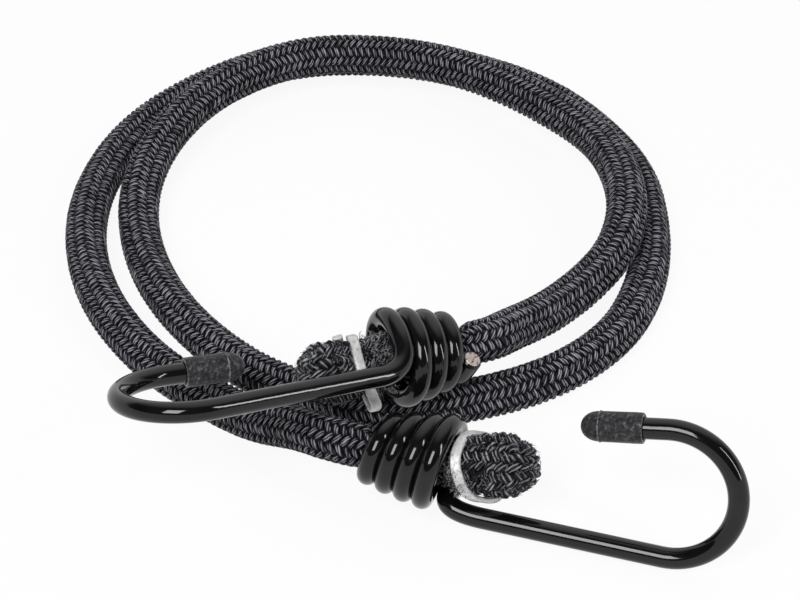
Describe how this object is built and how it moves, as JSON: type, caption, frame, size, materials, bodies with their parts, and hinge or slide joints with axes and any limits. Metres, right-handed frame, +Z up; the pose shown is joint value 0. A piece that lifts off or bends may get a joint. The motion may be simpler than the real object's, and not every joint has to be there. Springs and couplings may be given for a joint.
{
  "type": "bungee cord",
  "caption": "Black braided elastic cord lying in two loose loops, a coated wire hook wound onto each end, folded cord ends held by bright metal clips, soft caps on the hook tips.",
  "frame": {"origin": "on the surface the cord lies on, under the middle of the box round the two hooks", "axes": "+X to the right along the longer side of the hooks' box, +Y away from the hooks over the loops, +Z up"},
  "size_m": [0.1239, 0.1572, 0.0287],
  "materials": {
    "braid": "tightly braided black synthetic yarn, soft sheen along each yarn",
    "core_rubber": "cut natural rubber thread, matte",
    "steel": "drawn steel wire with a sawn, faintly pink end",
    "black_coat": "smooth dipped black plastic with long bright reflections",
    "cap_rubber": "moulded soft vinyl, matte and finely speckled",
    "galvanised": "zinc-plated flat wire, scratched where it was bent"
  },
  "bodies": {
    "cord": {"sheath": "braid", "rubber_thread_1": "core_rubber", "rubber_thread_2": "core_rubber", "rubber_thread_3": "core_rubber", "rubber_thread_4": "core_rubber", "rubber_thread_5": "core_rubber", "rubber_thread_6": "core_rubber", "rubber_thread_7": "core_rubber", "rubber_thread_8": "core_rubber", "rubber_thread_9": "core_rubber", "cord_end_a": "braid", "cord_end_b": "braid", "end_clip_a": "galvanised", "end_clip_b": "galvanised"},
    "hook_a": {"hook_wire_a": "steel", "hook_coat_a": "black_coat", "tip_cap_a": "cap_rubber"},
    "hook_b": {"hook_wire_b": "steel", "hook_coat_b": "black_coat", "tip_cap_b": "cap_rubber"}
  },
  "joints": [
    {"name": "hook_a_swivel", "type": "hinge", "parent": "cord", "child": "hook_a", "pos_m": [0.0081, 0.0201, 0.0147], "axis": [-0.879, -0.4498, 0.1582], "range_deg": [-22, 18]},
    {"name": "hook_b_swivel", "type": "hinge", "parent": "cord", "child": "hook_b", "pos_m": [-0.0105, -0.0029, 0.0105], "axis": [0.9537, -0.3007, 0], "range_deg": [-95, 95]}
  ]
}
